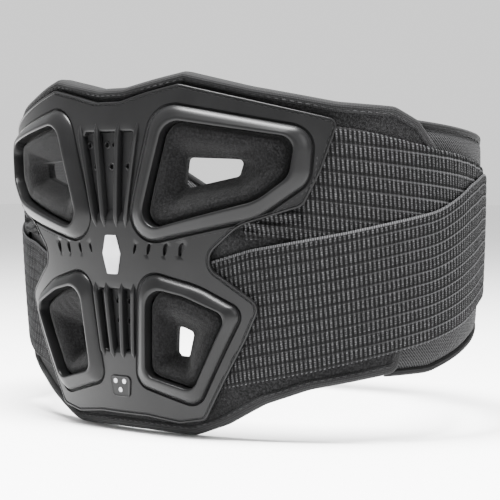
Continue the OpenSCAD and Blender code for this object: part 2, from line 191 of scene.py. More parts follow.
def path(corners, parts=1, steps=6):
    """Closed line through rounded corners: each arc has steps parts, each straight has parts."""
    c = np.array([p[:2] for p in corners], float)
    r = [p[2] for p in corners]
    n = len(c)
    arcs = []
    for i in range(n):
        u, v = unit(c[i - 1] - c[i]), unit(c[(i + 1) % n] - c[i])
        half = math.acos(max(-1, min(1, float(u @ v)))) / 2
        centre = c[i] + unit(u + v) * r[i] / math.sin(half)
        start = c[i] + u * r[i] / math.tan(half) - centre
        turn = (math.pi - 2 * half) * (1 if v[0] * u[1] - v[1] * u[0] > 0 else -1)
        a = turn * np.linspace(0, 1, steps + 1)
        arcs.append(centre + np.stack(
            [start[0] * np.cos(a) - start[1] * np.sin(a), start[0] * np.sin(a) + start[1] * np.cos(a)], -1))
    out = []
    for i in range(n):
        a, b = arcs[i][-1], arcs[(i + 1) % n][0]
        out.append(arcs[i])
        out.append(a + (b - a) * (np.arange(1, parts) / parts)[:, None])
    return np.concatenate(out)


def inset(corners, d):
    """Corners moved inwards by d, or outwards where d is negative."""
    n, out = len(corners), []
    for i in range(n):
        p, q, w = (np.array(corners[k % n][:2], float) for k in (i - 1, i, i + 1))
        a, b = unit(q - p), unit(w - q)
        na, nb = np.array([a[1], -a[0]]), np.array([b[1], -b[0]])
        m = q + d * (na + nb) / (1 + na @ nb)
        convex = a[0] * b[1] < a[1] * b[0]
        out.append([m[0], m[1], max(0.4, corners[i][2] + (-d if convex else d))])
    return out


def even(line, spacing, closed=True):
    """The line with points at an even spacing."""
    p = np.vstack([line, line[:1]]) if closed else line
    d = np.concatenate([[0], np.cumsum(np.hypot(*np.diff(p, axis=0).T))])
    k = max(3, int(round(d[-1] / spacing)))
    at = np.linspace(0, d[-1], k + 1)[:k if closed else k + 1]
    return np.stack([np.interp(at, d, p[:, 0]), np.interp(at, d, p[:, 1])], -1)


def inside(points, line):
    x, y = points[:, 0][:, None], points[:, 1][:, None]
    a, b = line, np.roll(line, -1, 0)
    hit = (a[:, 1] <= y) != (b[:, 1] <= y)
    with np.errstate(divide="ignore", invalid="ignore"):
        cross = a[:, 0] + (y - a[:, 1]) * (b[:, 0] - a[:, 0]) / (b[:, 1] - a[:, 1])
    return (hit & (x < cross)).sum(1) % 2 == 1


def distance(points, line):
    """Distance of each point from a closed line."""
    a = line
    ab = np.roll(line, -1, 0) - a
    out = np.full(len(points), 1e9)
    for k in range(len(a)):
        u = np.clip(((points - a[k]) @ ab[k]) / max(ab[k] @ ab[k], 1e-9), 0, 1)
        out = np.minimum(out, np.hypot(*(points - a[k] - u[:, None] * ab[k]).T))
    return out


def span(line, s):
    """Lowest and highest point of a closed line at each s."""
    a, b = line, np.roll(line, -1, 0)
    low, high = [], []
    for x in np.atleast_1d(s):
        hit = (a[:, 0] <= x) != (b[:, 0] <= x)
        z = a[hit, 1] + (b[hit, 1] - a[hit, 1]) * (x - a[hit, 0]) / (b[hit, 0] - a[hit, 0])
        low.append(z.min())
        high.append(z.max())
    return np.array(low), np.array(high)


# ---- Building meshes ----

class Skin:
    """A mesh gathered from grids and fills on the ring, made into an object at the end."""

    def __init__(self):
        self.points, self.uv, self.faces, self.n = [], [], [], 0

    def _add(self, s, z, t, u=None, v=None):
        s, z, t = np.broadcast_arrays(np.asarray(s, float), np.asarray(z, float), np.asarray(t, float))
        u = s if u is None else np.broadcast_to(u, s.shape)
        v = z if v is None else np.broadcast_to(v, s.shape)
        index = self.n + np.arange(s.size).reshape(s.shape)
        self.points.append(wrap(s, z, t).reshape(-1, 3))
        self.uv.append(np.stack([u.ravel(), v.ravel()], -1) / UV_MM)
        self.n += s.size
        return index

    def grid(self, s, z, t, u=None, v=None, loop=False):
        """Rows by columns of points. loop joins the last column to the first."""
        i = self._add(s, z, t, u, v)
        if loop:
            i = np.hstack([i, i[:, :1]])
        q = np.stack([i[:-1, :-1], i[:-1, 1:], i[1:, 1:], i[1:, :-1]], -1).reshape(-1, 4)
        self.faces += q.tolist()

    def sweep(self, lines, heights, loop=True, along=None):
        """Joins lines with as many points, each at its own height or heights."""
        s = np.array([p[:, 0] for p in lines])
        z = np.array([p[:, 1] for p in lines])
        t = np.array([np.broadcast_to(h, s.shape[1]) for h in heights], float)
        if along is None:
            step = np.hypot(*np.diff(lines[0], axis=0).T)
            along = np.concatenate([[0], np.cumsum(step)])
        across = np.arange(len(lines))[:, None] * 1.0 + 0 * s
        self.grid(s, z, t, along + 0 * s, across, loop)

    def fill(self, outer, holes, height, spacing):
        """Fills the outer line, less its holes, with triangles at height(points)."""
        lo, hi = outer.min(0), outer.max(0)
        xs = np.arange(lo[0], hi[0] + spacing, spacing)
        ys = np.arange(lo[1], hi[1] + spacing, spacing * 0.866)
        g = np.array([[x + (spacing / 2 if k % 2 else 0), y] for k, y in enumerate(ys) for x in xs])
        g = g[inside(g, outer)]
        g = g[distance(g, outer) > spacing * 0.45]
        for h in holes:
            g = g[~inside(g, h)]
            g = g[distance(g, h) > spacing * 0.45]
        lines = [outer] + list(holes)
        points = np.vstack(lines + [g])
        edges, k = [], 0
        for line in lines:
            m = len(line)
            edges += [(k + i, k + (i + 1) % m) for i in range(m)]
            k += m
        out = delaunay_2d_cdt([Vector(p) for p in points.tolist()], edges, [], 0, 1e-5)
        p = np.array([tuple(v) for v in out[0]])
        tri = np.array([f for f in out[2] if len(f) == 3])
        mid = p[tri].mean(1)
        keep = inside(mid, outer)
        for h in holes:
            keep &= ~inside(mid, h)
        tri = tri[keep]
        a, b, c = p[tri[:, 0]], p[tri[:, 1]], p[tri[:, 2]]
        area = (b[:, 0] - a[:, 0]) * (c[:, 1] - a[:, 1]) - (b[:, 1] - a[:, 1]) * (c[:, 0] - a[:, 0])
        tri[area < 0] = tri[area < 0][:, ::-1]
        i = self._add(p[:, 0], p[:, 1], height(p))
        self.faces += i[tri].tolist()

    def make(self, name, material, left=False, angle=40):
        points = np.concatenate(self.points)
        uv = np.concatenate(self.uv)
        faces = self.faces
        if left:
            points = points * [-1, 1, 1]
            faces = [f[::-1] for f in faces]
        mesh = bpy.data.meshes.new(name)
        mesh.from_pydata(points.tolist(), [], faces)
        layer = mesh.uv_layers.new(name="pattern")
        corner = np.zeros(len(mesh.loops), int)
        mesh.loops.foreach_get("vertex_index", corner)
        layer.data.foreach_set("uv", uv[corner].astype(np.float32).ravel())
        bm = bmesh.new()
        bm.from_mesh(mesh)
        bmesh.ops.remove_doubles(bm, verts=bm.verts, dist=5e-7)
        loose = [v for v in bm.verts if not v.link_faces]
        bmesh.ops.delete(bm, geom=loose, context="VERTS")
        bmesh.ops.recalc_face_normals(bm, faces=bm.faces)
        bm.to_mesh(mesh)
        bm.free()
        mesh.polygons.foreach_set("use_smooth", [True] * len(mesh.polygons))
        mesh.set_sharp_from_angle(angle=math.radians(angle))
        mesh.materials.append(material)
        piece = bpy.data.objects.new(name, mesh)
        bpy.context.scene.collection.objects.link(piece)
        return piece


def waves(s, z, seed, size):
    """Smooth unevenness from a few crossed waves, from -1 to 1."""
    rng = np.random.default_rng(seed)
    out = 0
    for k in range(6):
        a, f, p = rng.uniform(0, math.pi), rng.uniform(0.6, 1.8) * 2 * math.pi / size, rng.uniform(0, 6)
        out = out + np.sin((s * math.cos(a) + z * math.sin(a)) * f + p)
    return out / 6


# ---- Materials ----

class Paint:
    """One material, with helpers that add nodes to it."""

    def __init__(self, name, color, rough, **inputs):
        self.material = bpy.data.materials.new(name)
        self.material.use_nodes = True
        tree = self.material.node_tree
        self.nodes, self.links = tree.nodes, tree.links
        self.surface = self.nodes["Principled BSDF"]
        self.surface.inputs["Base Color"].default_value = (*color, 1)
        self.surface.inputs["Roughness"].default_value = rough
        for key, value in inputs.items():
            self.surface.inputs[key.replace("_", " ")].default_value = value
        self.last_bump = None

    def node(self, kind, *sources, **settings):
        n = self.nodes.new(kind)
        for key, value in settings.items():
            setattr(n, key, value)
        for socket, source in zip(n.inputs, sources):
            if hasattr(source, "links"):
                self.links.new(source, socket)
            elif source is not None:
                socket.default_value = source
        return n

    def math(self, operation, *sources):
        return self.node("ShaderNodeMath", *sources, operation=operation).outputs[0]

    def place(self):
        """Along and across the cloth, in millimetres."""
        n = self.node("ShaderNodeUVMap", uv_map="pattern")
        parts = self.node("ShaderNodeSeparateXYZ", n.outputs["UV"])
        return [self.math("MULTIPLY", parts.outputs[k], UV_MM) for k in (0, 1)]

    def noise(self, per_mm, detail=2.0):
        at = self.node("ShaderNodeTexCoord").outputs["Object"]
        n = self.nodes.new("ShaderNodeTexNoise")
        self.links.new(at, n.inputs["Vector"])
        n.inputs["Scale"].default_value = per_mm / MM
        n.inputs["Detail"].default_value = detail
        return n.outputs["Fac"]

    def wave(self, across, pitch):
        """From 0 to 1 and back in each pitch."""
        turn = self.math("MULTIPLY", across, 2 * math.pi / pitch)
        return self.math("MULTIPLY_ADD", self.math("SINE", turn), 0.5, 0.5)

    def rise(self, value, low, high):
        n = self.node("ShaderNodeMapRange", value, low, high, interpolation_type="SMOOTHSTEP")
        return n.outputs["Result"]

    def colour(self, share, low, high):
        n = self.node("ShaderNodeMix", data_type="RGBA")
        self.links.new(share, n.inputs[0])
        n.inputs[6].default_value = (*low, 1)
        n.inputs[7].default_value = (*high, 1)
        self.links.new(n.outputs[2], self.surface.inputs["Base Color"])

    def bump(self, height, depth_mm):
        n = self.nodes.new("ShaderNodeBump")
        self.links.new(height, n.inputs["Height"])
        n.inputs["Strength"].default_value = 1.0
        n.inputs["Distance"].default_value = depth_mm * MM
        if self.last_bump:
            self.links.new(self.last_bump, n.inputs["Normal"])
        self.last_bump = n.outputs["Normal"]
        self.links.new(self.last_bump, self.surface.inputs["Normal"])


def grey(v):
    return (v, v, v * 1.03)


def moulded(name, value, rough, grain=0.03):
    p = Paint(name, grey(value), rough, Specular_IOR_Level=0.12)
    p.colour(p.rise(p.noise(0.05, 4), 0.3, 0.7), grey(value * 0.85), grey(value * 1.15))
    p.bump(p.noise(1.6, 3), grain)
    return p.material


def velour(name, value):
    p = Paint(name, grey(value), 0.95, Sheen_Weight=0.05, Sheen_Roughness=0.5, Specular_IOR_Level=0.08)
    p.colour(p.rise(p.noise(0.9, 5), 0.35, 0.75), grey(value * 0.4), grey(value * 2.4))
    p.bump(p.noise(1.1, 4), 0.5)
    return p.material


def woven(name, value, pitch, depth, slant=0.0, contrast=1.0):
    """Cloth with threads both ways, or a twill where it slants."""
    p = Paint(name, grey(value), 0.8, Sheen_Weight=0.02, Specular_IOR_Level=0.12)
    s, z = p.place()
    a = p.wave(p.math("MULTIPLY_ADD", z, slant, s), pitch)
    b = p.wave(z, pitch)
    threads = p.math("MULTIPLY", a, b) if slant == 0 else p.math("MULTIPLY_ADD", b, 0.3, a)
    uneven = p.math("MULTIPLY", threads, p.math("MULTIPLY_ADD", p.noise(0.8, 3), 1.2, 0.4))
    p.colour(p.rise(uneven, 0.1, 0.9), grey(value * 0.35 / contrast), grey(value * 2.2 * contrast))
    p.bump(threads, depth)
    return p.material


def ribbed_elastic(name, row_mm, edge_mm, low, high):
    """Upright ribs of fine beads, parted by lengthwise lines, with a painted highlight line in each row."""
    p = Paint(name, grey(low), 0.7, Specular_IOR_Level=0.06)
    s, z = p.place()
    slanted = p.math("MULTIPLY_ADD", z, 0.07, s)
    rib = p.rise(p.wave(slanted, 2.6), 0.25, 0.85)
    bead = p.math("MULTIPLY_ADD", p.rise(p.wave(z, 1.3), 0.1, 0.8), 0.6, 0.4)
    groove = p.rise(p.wave(z, row_mm), 0.75, 0.97)
    line = p.rise(p.wave(p.math("ADD", z, row_mm * 0.14), row_mm), 0.93, 1.0)
    patchy = p.math("MULTIPLY_ADD", p.rise(p.noise(0.9, 4), 0.3, 0.8), 0.9, 0.2)
    beads = p.math("MULTIPLY", p.math("MULTIPLY", rib, bead), patchy)
    beads = p.math("MULTIPLY", beads, p.math("MULTIPLY_ADD", groove, -0.75, 1))
    # painted highlight: line places a thin lighter line in each row, made brighter towards the right (s 130
    # to 245) and glinting where it crosses the ribs
    painted_sheen_to_right = p.math("MULTIPLY_ADD", p.rise(s, 130, 245), 0.95, 0.12)
    painted_glint_on_ribs = p.math("MULTIPLY_ADD", p.wave(slanted, 2.6), 0.5, 0.5)
    rows = p.math("MULTIPLY", line, p.math("MULTIPLY", painted_sheen_to_right, painted_glint_on_ribs))
    dashes = p.math("MULTIPLY_ADD", p.wave(s, 1.3), 0.7, 0.3)
    edge = p.math("MULTIPLY", p.rise(z, edge_mm - 1, edge_mm), dashes)
    p.colour(p.math("MAXIMUM", p.math("MAXIMUM", beads, rows), edge), grey(low), grey(high))
    p.bump(p.math("MULTIPLY", rib, bead), 0.35)
    return p.material


def pile(name, low, high, size, depth):
    """Loop or hook field."""
    p = Paint(name, grey(low), 0.9, Sheen_Weight=0.04, Specular_IOR_Level=0.1)
    p.colour(p.rise(p.noise(size, 4), 0.35, 0.7), grey(low), grey(high))
    p.bump(p.noise(size, 2), depth)
    return p.material


def pegs(name, low, high):
    p = Paint(name, grey(low), 0.6)
    s, z = p.place()
    peg = p.math("MULTIPLY", p.rise(p.wave(s, 1.4), 0.5, 0.9), p.rise(p.wave(z, 1.4), 0.5, 0.9))
    p.colour(peg, grey(low), grey(high))
    p.bump(peg, 0.5)
    return p.material


SHELL_PLASTIC = moulded("shell_plastic", 0.0045, 0.31)
PANEL_PLASTIC = moulded("vent_panel_plastic", 0.006, 0.5)
BADGE_PALE = moulded("badge_pale", 0.4, 0.35, 0.01)
BADGE_DARK = moulded("badge_dark", 0.004, 0.35, 0.01)
THREAD = moulded("thread", 0.012, 0.7, 0.08)
RUBBER = moulded("tab_rubber", 0.01, 0.6)
# cup velour: the cloth's own dark tone, set darker still as painted shade for the black inside of each
# cup's hole
VELOUR = velour("cup_velour", 0.0035)
COVER = velour("cover_cloth", 0.005)
LINING = woven("lining_mesh", 0.01, 1.8, 0.35)
TAPE = woven("binding_tape", 0.008, 0.9, 0.15)
PIPING = woven("piping_cloth", 0.006, 0.8, 0.12)
TWILL = woven("panel_mesh", 0.005, 2.0, 0.35, slant=1.0, contrast=2.0)
BAND_ELASTIC = ribbed_elastic("inner_elastic", BAND_ROW, 100, 0.0008, 0.055)
STRAP_ELASTIC = ribbed_elastic("strap_elastic", STRAP_ROW, 76, 0.0008, 0.055)
LOOPS = pile("loop_pile", 0.005, 0.025, 1.2, 0.5)
HOOKS = pegs("hook_tape", 0.012, 0.06)


# ---- Shapes used by several pieces ----

def between(a, b, share):
    return a + (b - a) * share


def mirror_line(line):
    return line[::-1] * [-1, 1]


def as_is(line):
    return line


def level(t):
    """The height of a flat fill."""
    return lambda p: t + 0 * p[:, 0]


def lines_of(kind):
    """The frame, window and vent lines of a window, which go together point by point."""
    return [path(c, 16, 8) for c in WINDOWS[kind]]


def closed_bar(skin, sections, u=None):
    """Tube with two flat ends from cross-sections, each an array of [s, z, t] points."""
    p = np.array(sections, float)
    along = np.arange(len(p))[:, None] * 1.0 + 0 * p[..., 0] if u is None else u[:, None] + 0 * p[..., 0]
    across = np.arange(p.shape[1])[None, :] * 0.5 + 0 * p[..., 0]
    skin.grid(p[..., 0], p[..., 1], p[..., 2], along, across, loop=True)
    for end in (p[0], p[-1]):
        half = len(end) // 2
        pair = np.stack([end[:half], end[half:][::-1][:half]])
        skin.grid(pair[..., 0], pair[..., 1], pair[..., 2])


def stitches(skin, line, height, pitch=4.2, length=3.0, r=0.4, closed=True):
    """Row of stitches that stand out of the surface."""
    p = even(line, pitch, closed)
    way = np.roll(p, -1, 0) - p if closed else np.gradient(p, axis=0)
    way /= np.hypot(*way.T)[:, None]
    side = np.stack([-way[:, 1], way[:, 0]], -1)
    u = np.linspace(-1, 1, 6)
    a = np.linspace(0, math.pi, 5)
    for k in range(len(p)):
        fat = r * np.sqrt(np.clip(1 - u ** 4, 0, 1))[:, None]
        at = p[k] + way[k] * (u[:, None, None] * length / 2) + side[k] * (fat * np.cos(a))[..., None]
        h = height(p[k:k + 1])[0] if callable(height) else height
        skin.grid(at[..., 0], at[..., 1], h + fat * np.sin(a) - 0.1)


def ribbon(skin, line, s0, s1, ds, rows, outer, inner, start=None, across=None):
    """Closed sheet that fills a line from s0 to s1, or from start(z). outer and inner give the two
    faces at (s, z, v), v being the share of the way up."""
    table = np.linspace(s0 + 1e-4, s1 - 1e-4, 1200)
    low, high = span(line, table)
    share = np.linspace(0, 1, int((s1 - s0) / ds) + 1)[:, None]
    v = np.linspace(0, 1, rows + 1)[None, :]
    first = np.full(v.shape, float(s0))
    for _ in range(6 if start else 0):
        z = np.interp(first, table, low) * (1 - v) + np.interp(first, table, high) * v
        first = start(z)
    s = first + (s1 - first) * share
    z = np.interp(s, table, low) * (1 - v) + np.interp(s, table, high) * v
    v = v + 0 * s
    pattern = across(s, z, v) if across else z
    to, ti = outer(s, z, v), inner(s, z, v)
    pairs = ((s, s), (z, z), (to, ti), (s, s), (pattern, pattern))
    both = [np.hstack([a, b[:, ::-1]]) for a, b in pairs]
    skin.grid(*both, loop=True)
    for k in (0, -1):
        skin.grid(np.stack([s[k], s[k]]), np.stack([z[k], z[k]]), np.stack([to[k], ti[k]]))


def soft_edge(v, height, width=1.2):
    """How far a sheet thins towards its two edges, as a share."""
    d = np.minimum(v, 1 - v) * height
    return 1 - np.exp(-d / width)


def side_points(s, left):
    p = wrap(s, 0, 0)
    return [float(-p[0] if left else p[0]), float(p[1]), float(p[2])]


def fold_with(piece, left, at):
    """Works out points either side of a fold line, which nothing uses, and bakes the piece's transform; the
    piece is not bent.
    """
    side_points(at - FOLD_HALF, left)
    side_points(at + FOLD_HALF, left)
    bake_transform(piece)


# ---- Moulded shell ----

def teardrop(s):
    grow = (s - 18) / 32
    a = np.linspace(0, 2 * math.pi, 29)[:-1]
    x = (1.0 + 0.8 * grow) * np.sin(a) * (1 + 0.3 * np.cos(a))
    z = (3.3 + 1.3 * grow) * np.cos(a)
    lean = math.radians(17)
    return np.stack([s + x * math.cos(lean) + z * math.sin(lean),
                     -2.8 - x * math.sin(lean) + z * math.cos(lean)], -1)


def shell_back(s):
    return 0.25 + 2.35 * smooth(38, 50, np.abs(s))


def build_shell():
    skin = Skin()
    edge = path(SHELL, 14, 8)
    lip = [(0.0, None), (0.0, 4.0), (0.12, 4.6), (0.4, 4.9), (0.8, 5.0), (1.1, 4.95), (1.35, 4.5),
           (1.7, 4.35), (2.05, 4.5), (2.3, SHELL_OUT)]
    lines = [path(inset(SHELL, d), 14, 8) if d else edge for d, _ in lip]
    skin.sweep(lines, [shell_back(edge[:, 0]) if h is None else h for _, h in lip])
    top_holes, back_holes = [], []
    for kind in WINDOWS:
        frame_line, window, _ = lines_of(kind)
        ditch = path(inset(WINDOWS[kind][0], -1.5), 16, 8)
        shares = [(0, 4.85), (0.06, 5.6), (0.15, 6.6), (0.3, 7.7), (0.5, 8.5), (0.68, 9.2), (0.75, 9.45),
                  (0.83, 9.5), (0.9, 9.45), (0.96, 9.2), (0.99, 8.9), (1, 8.4), (1, 6), (1, 3.8)]
        rows = [ditch, between(ditch, frame_line, 0.3), between(ditch, frame_line, 0.75), frame_line]
        heights = [SHELL_OUT, 4.2, 3.9, 4.2]
        rows += [between(frame_line, window, q) for q, _ in shares]
        heights += [h for _, h in shares]
        rows.append(window)
        heights.append(shell_back(window[:, 0]))
        for turn in (as_is, mirror_line):
            turned_heights = [h if np.isscalar(h) else h[::-1] for h in heights]
            skin.sweep([turn(r) for r in rows], heights if turn is as_is else turned_heights)
            top_holes.append(turn(ditch))
            back_holes.append(turn(window))
    for kind, corners in SLOTS.items():
        outer = path(inset(corners, -1.6), 10, 6)
        inner = path(corners, 10, 6)
        skin.sweep([outer, between(outer, inner, 0.5), between(outer, inner, 0.85), inner, inner],
                   [SHELL_OUT, 4.85, 4.5, 4.0, 0.25])
        top_holes.append(outer)
        back_holes.append(inner)
    for s in TEARDROPS:
        for turn in (as_is, mirror_line):
            rim = turn(teardrop(s))
            floor = rim.mean(0) + (rim - rim.mean(0)) * 0.8
            skin.sweep([rim, between(rim, floor, 0.6), floor], [SHELL_OUT, 4.6, 2.9])
            skin.fill(floor, [], level(2.9), 0.7)
            top_holes.append(rim)
    skin.fill(lines[-1], top_holes, level(SHELL_OUT), 3.0)
    skin.fill(edge, back_holes, lambda p: shell_back(p[:, 0]), 6.0)
    section = [(-1.7, 2.7), (-1.6, 5), (-1.25, 6.3), (-0.9, 6.8), (-0.45, 7.05), (0.45, 7.05), (0.9, 6.8),
               (1.25, 6.3), (1.6, 5), (1.7, 2.7)]
    for flip in (1, -1):
        for top, low in RIBS:
            a, b = np.array(top, float) * [flip, 1], np.array(low, float) * [flip, 1]
            way = unit(b - a)
            side = np.array([-way[1], way[0]])
            rings = []
            for u in np.linspace(0, 1, 30):
                rise = float(smooth(0, 0.16, u) * smooth(0, 0.12, 1 - u))
                wide = 0.08 + 0.92 * rise ** 0.6
                rings.append([[*(a + (b - a) * u + side * x * wide), 2.7 + (t - 2.7) * (0.45 + 0.55 * rise)]
                              for x, t in section])
            closed_bar(skin, rings)
    scoops = [(-9, 14.2, 3.4, 5.4), (0, 14.2, 3.6, 6.2), (9, 14.2, 3.4, 5.4), (0, -64.8, 2.6, 4.0)]
    for s, z, r, tall in scoops:
        a = np.linspace(0, math.pi, 17)
        shares = (1, 0.85, 0.6, 0.35, 0.05)
        rim = [np.stack([s + r * q * np.cos(a), z + tall * q * np.sin(a)], -1) for q in shares]
        t = [4.95 - 2.6 * (q * np.sin(a)) ** 1.3 for q in shares]
        skin.sweep([rim[0]] + rim, [t[0] - 1.6] + t, loop=False)
    shell = skin.make("moulded_shell", SHELL_PLASTIC, angle=50)
    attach(shell, "root")
    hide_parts("back_shell")

    skin = Skin()
    stitches(skin, path(inset(SHELL, 1.85), 14, 8), 4.5, pitch=3.4, length=2.4, r=0.32)
    for turn in (as_is, mirror_line):
        around = path(inset(WINDOWS["upper"][0], -2.9), 16, 8)
        lower = [i for i in range(len(around)) if around[i, 1] < 50 and around[i, 0] > 42]
        stitches(skin, turn(around[lower]), SHELL_OUT, pitch=3.2, length=1.9, r=0.3, closed=False)
    sewing = skin.make("shell_stitches", THREAD)
    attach(sewing, "root")


def build_badges():
    for name, corners, finish, node in (
        ("badge_on_the_waist", BADGE_UPPER, BADGE_PALE, "centre_emblem"),
        ("badge_below", BADGE_LOWER, BADGE_DARK, "lower_emblem"),
    ):
        skin = Skin()
        rim = path(corners, 4, 4)
        soft = path(inset(corners, 0.5), 4, 4)
        core = path(inset(corners, 1.4), 4, 4)
        skin.sweep([rim, rim, soft, core], [SHELL_OUT + h for h in (0.05, 0.6, 0.9, 0.7)])
        skin.fill(core, [], level(SHELL_OUT + 0.7), 1.0)
        skin.fill(rim, [], level(SHELL_OUT + 0.05), 2.0)
        piece = skin.make(name, finish)
        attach(piece, "root")
        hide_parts(node)
    skin = Skin()
    for s, z in ((-3.6, -82.4), (3.6, -82.4), (0, -87.6)):
        a = np.linspace(0, 2 * math.pi, 13)[:-1]
        rings = [(1.5, 0.6), (1.45, 1.05), (1.1, 1.2), (0.02, 1.2)]
        skin.sweep([np.stack([s + r * np.sin(a), z + r * np.cos(a)], -1) for r, _ in rings],
                   [SHELL_OUT + h for _, h in rings])
    dots = skin.make("badge_dots", BADGE_PALE)
    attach(dots, "root")


def build_vent_panels():
    for kind, corners in SLOTS.items():
        skin = Skin()
        rim = path(inset(corners, 0.3), 10, 6)
        a = np.linspace(0, 2 * math.pi, 17)[:-1]
        holes = []
        for s, z in AIR_HOLES[kind]:
            ring = [np.stack([s + r * np.sin(a), z + r * np.cos(a)], -1) for r in (2.5, 2.2, 1.8, 1.55)]
            skin.sweep(ring + [ring[-1]], [1.7, 2.15, 2.2, 1.9, 0.4])
            holes.append((ring[0], ring[-1]))
        skin.sweep([rim, rim], [0.4, 1.7])
        skin.fill(rim, [h[0] for h in holes], level(1.7), 2.0)
        skin.fill(rim, [h[1] for h in holes], level(0.4), 4.0)
        piece = skin.make(f"vent_panel_{kind}", PANEL_PLASTIC, angle=50)
        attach(piece, "root")
        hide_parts(f"spine_vent_panel_{kind}")


# ---- Padding ----

CUP = [                        # share of the way in from the window to the hole, and the height there
    (0, 0.8), (0.05, 2.6), (0.13, 4.1), (0.28, 4.2), (0.45, 3.0), (0.6, 0.9), (0.75, -2), (0.9, -4.6),
    (1, -6),
]
CUP_MEETS = 0.6                # share of the way in where a cup goes down through the cover


def build_cups():
    for k, kind in enumerate(WINDOWS):
        window = path(inset(WINDOWS[kind][1], CUP_GAP), 16, 8)
        vent = path(WINDOWS[kind][2], 16, 8)
        for left in (False, True):
            shares = np.linspace(0, 1, 30)
            rows, heights = [], []
            for q in shares:
                line = between(window, vent, q)
                rows.append(line)
                uneven = 0.35 * waves(line[:, 0], line[:, 1], 3 + 5 * k + left, 11)
                heights.append(np.interp(q, *zip(*CUP)) + uneven * math.sin(math.pi * min(1, q * 1.2)))
            rows += [vent] * 3 + [between(window, vent, 0.94)] * 2
            heights += [-7.5, -9.0, -10.1, -10.1, -7.0]
            for q in (0.8, 0.6, 0.4, 0.2, 0.0):
                rows.append(between(window, vent, q))
                heights.append(min(0.35, float(np.interp(q, *zip(*CUP))) - 1.4))
            rows.append(rows[0])
            heights.append(heights[0])
            skin = Skin()
            skin.sweep(rows, heights)
            side = "left" if left else "right"
            cup = skin.make(f"vent_cup_{kind}_{side}_padding", VELOUR, left, angle=60)
            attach(cup, "root")
            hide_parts(f"vent_cup_{kind}_{side}")


def cup_holes(share):
    out = []
    for kind in WINDOWS:
        window = path(inset(WINDOWS[kind][1], CUP_GAP), 8, 6)
        vent = path(WINDOWS[kind][2], 8, 6)
        out += [between(window, vent, share), mirror_line(between(window, vent, share))]
    return out


def build_back():
    edge = path(inset(PAD, 1.6), 10, 6)
    holes = cup_holes(CUP_MEETS)

    def face(p):
        away = distance(p, edge)
        s, z = np.abs(p[:, 0]), p[:, 1]
        swell = 3.0 * np.exp(-((s - 76) / 8) ** 2 - ((z - 3) / 6) ** 2)
        return 0.35 * waves(p[:, 0], z, 21, 30) * (1 - np.exp(-away / 9)) * smooth(100, 60, s) - 0.1 + swell

    skin = Skin()
    skin.fill(edge, holes, face, 2.5)
    skin.sweep([edge, edge], [face(edge), pad_in(edge[:, 0]) + 0.7])
    skin.fill(edge, holes, lambda p: pad_in(p[:, 0]) + 0.7, 8.0)
    for h in holes:
        skin.sweep([h, h], [face(h), pad_in(h[:, 0]) + 0.7])
    pad = skin.make("padded_back", COVER)
    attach(pad, "root")
    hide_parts("back_cover", "foam_core")

    inner_edge = path(inset(PAD, 2.2), 10, 6)
    inner_holes = cup_holes(0.97)

    def quilt(p):
        rows = np.abs(np.sin(math.pi * (p[:, 1] - 0.12 * np.abs(p[:, 0])) / 22))
        return pad_in(p[:, 0]) + 0.9 - 1.1 * rows ** 0.5 * (1 - np.exp(-distance(p, inner_edge) / 6))

    skin = Skin()
    skin.fill(inner_edge, inner_holes, quilt, 2.6)
    skin.fill(inner_edge, inner_holes, lambda p: quilt(p) + 0.6, 2.6)
    for line in [inner_edge] + inner_holes:
        skin.sweep([line, line], [quilt(line), quilt(line) + 0.6])
    liner = skin.make("quilted_liner", LINING)
    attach(liner, "root")
    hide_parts("inner_liner")

    skin = Skin()
    lines, heights = [], []
    profile = [                # inset, height, and how far the roll of the edge lifts it
        (6.0, 0.2, 0), (5.7, 0.5, 0.3), (5.0, 0.55, 0.9), (3.9, 0.5, 1.7), (2.6, 0.4, 2.0), (1.4, 0.2, 1.7),
        (0.5, -0.5, 0.9), (0.05, -1.6, 0.2), (0, -3.0, 0),
    ]
    whole = path(PAD, 24, 10)
    free = 1 - smooth(150, 168, np.abs(whole[:, 0]))
    length = np.concatenate([[0], np.cumsum(np.hypot(*np.diff(whole, axis=0).T))])
    crease = 0.5 + 0.5 * np.sin(length / 9.0 + 2 * np.sin(length / 23.0))
    for d, h, lift in profile:
        lines.append(path(inset(PAD, d), 24, 10) if d else whole)
        heights.append(h + lift * free * (0.55 + 0.45 * crease))
    for d, h in ((0, 3.0), (0.2, 1.2), (1.0, 0.1), (2.6, -0.35), (4.5, -0.4), (5.8, -0.3), (6.0, 0.0)):
        lines.append(path(inset(PAD, d), 24, 10) if d else whole)
        heights.append(pad_in(lines[-1][:, 0]) + h - 0.1)
    for d, h in ((5.2, 0.45), (3.0, 0.6), (1.6, 0.9), (1.2, 3.0)):
        lines.append(path(inset(PAD, d), 24, 10))
        heights.append(pad_in(lines[-1][:, 0]) + h)
    for d, h in ((1.2, -2.2), (1.8, -0.4), (3.2, 0.1), (5.2, 0.12)):
        lines.append(path(inset(PAD, d), 24, 10))
        heights.append(h + 0 * free)
    lines.append(lines[0])
    heights.append(heights[0])
    skin.sweep(lines, heights, along=length)
    tape = skin.make("edge_binding", TAPE, angle=60)
    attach(tape, "root")
    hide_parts("back_binding")

    skin = Skin()
    seam = path(inset(PAD, 4.7), 24, 10)
    stitches(skin, seam, lambda p: 0.72 + 0.9 * (1 - smooth(150, 168, np.abs(p[:, 0]))), 4.4, 3.0, 0.35)
    sewing = skin.make("binding_stitches", THREAD)
    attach(sewing, "root")


# ---- Sides and front ----

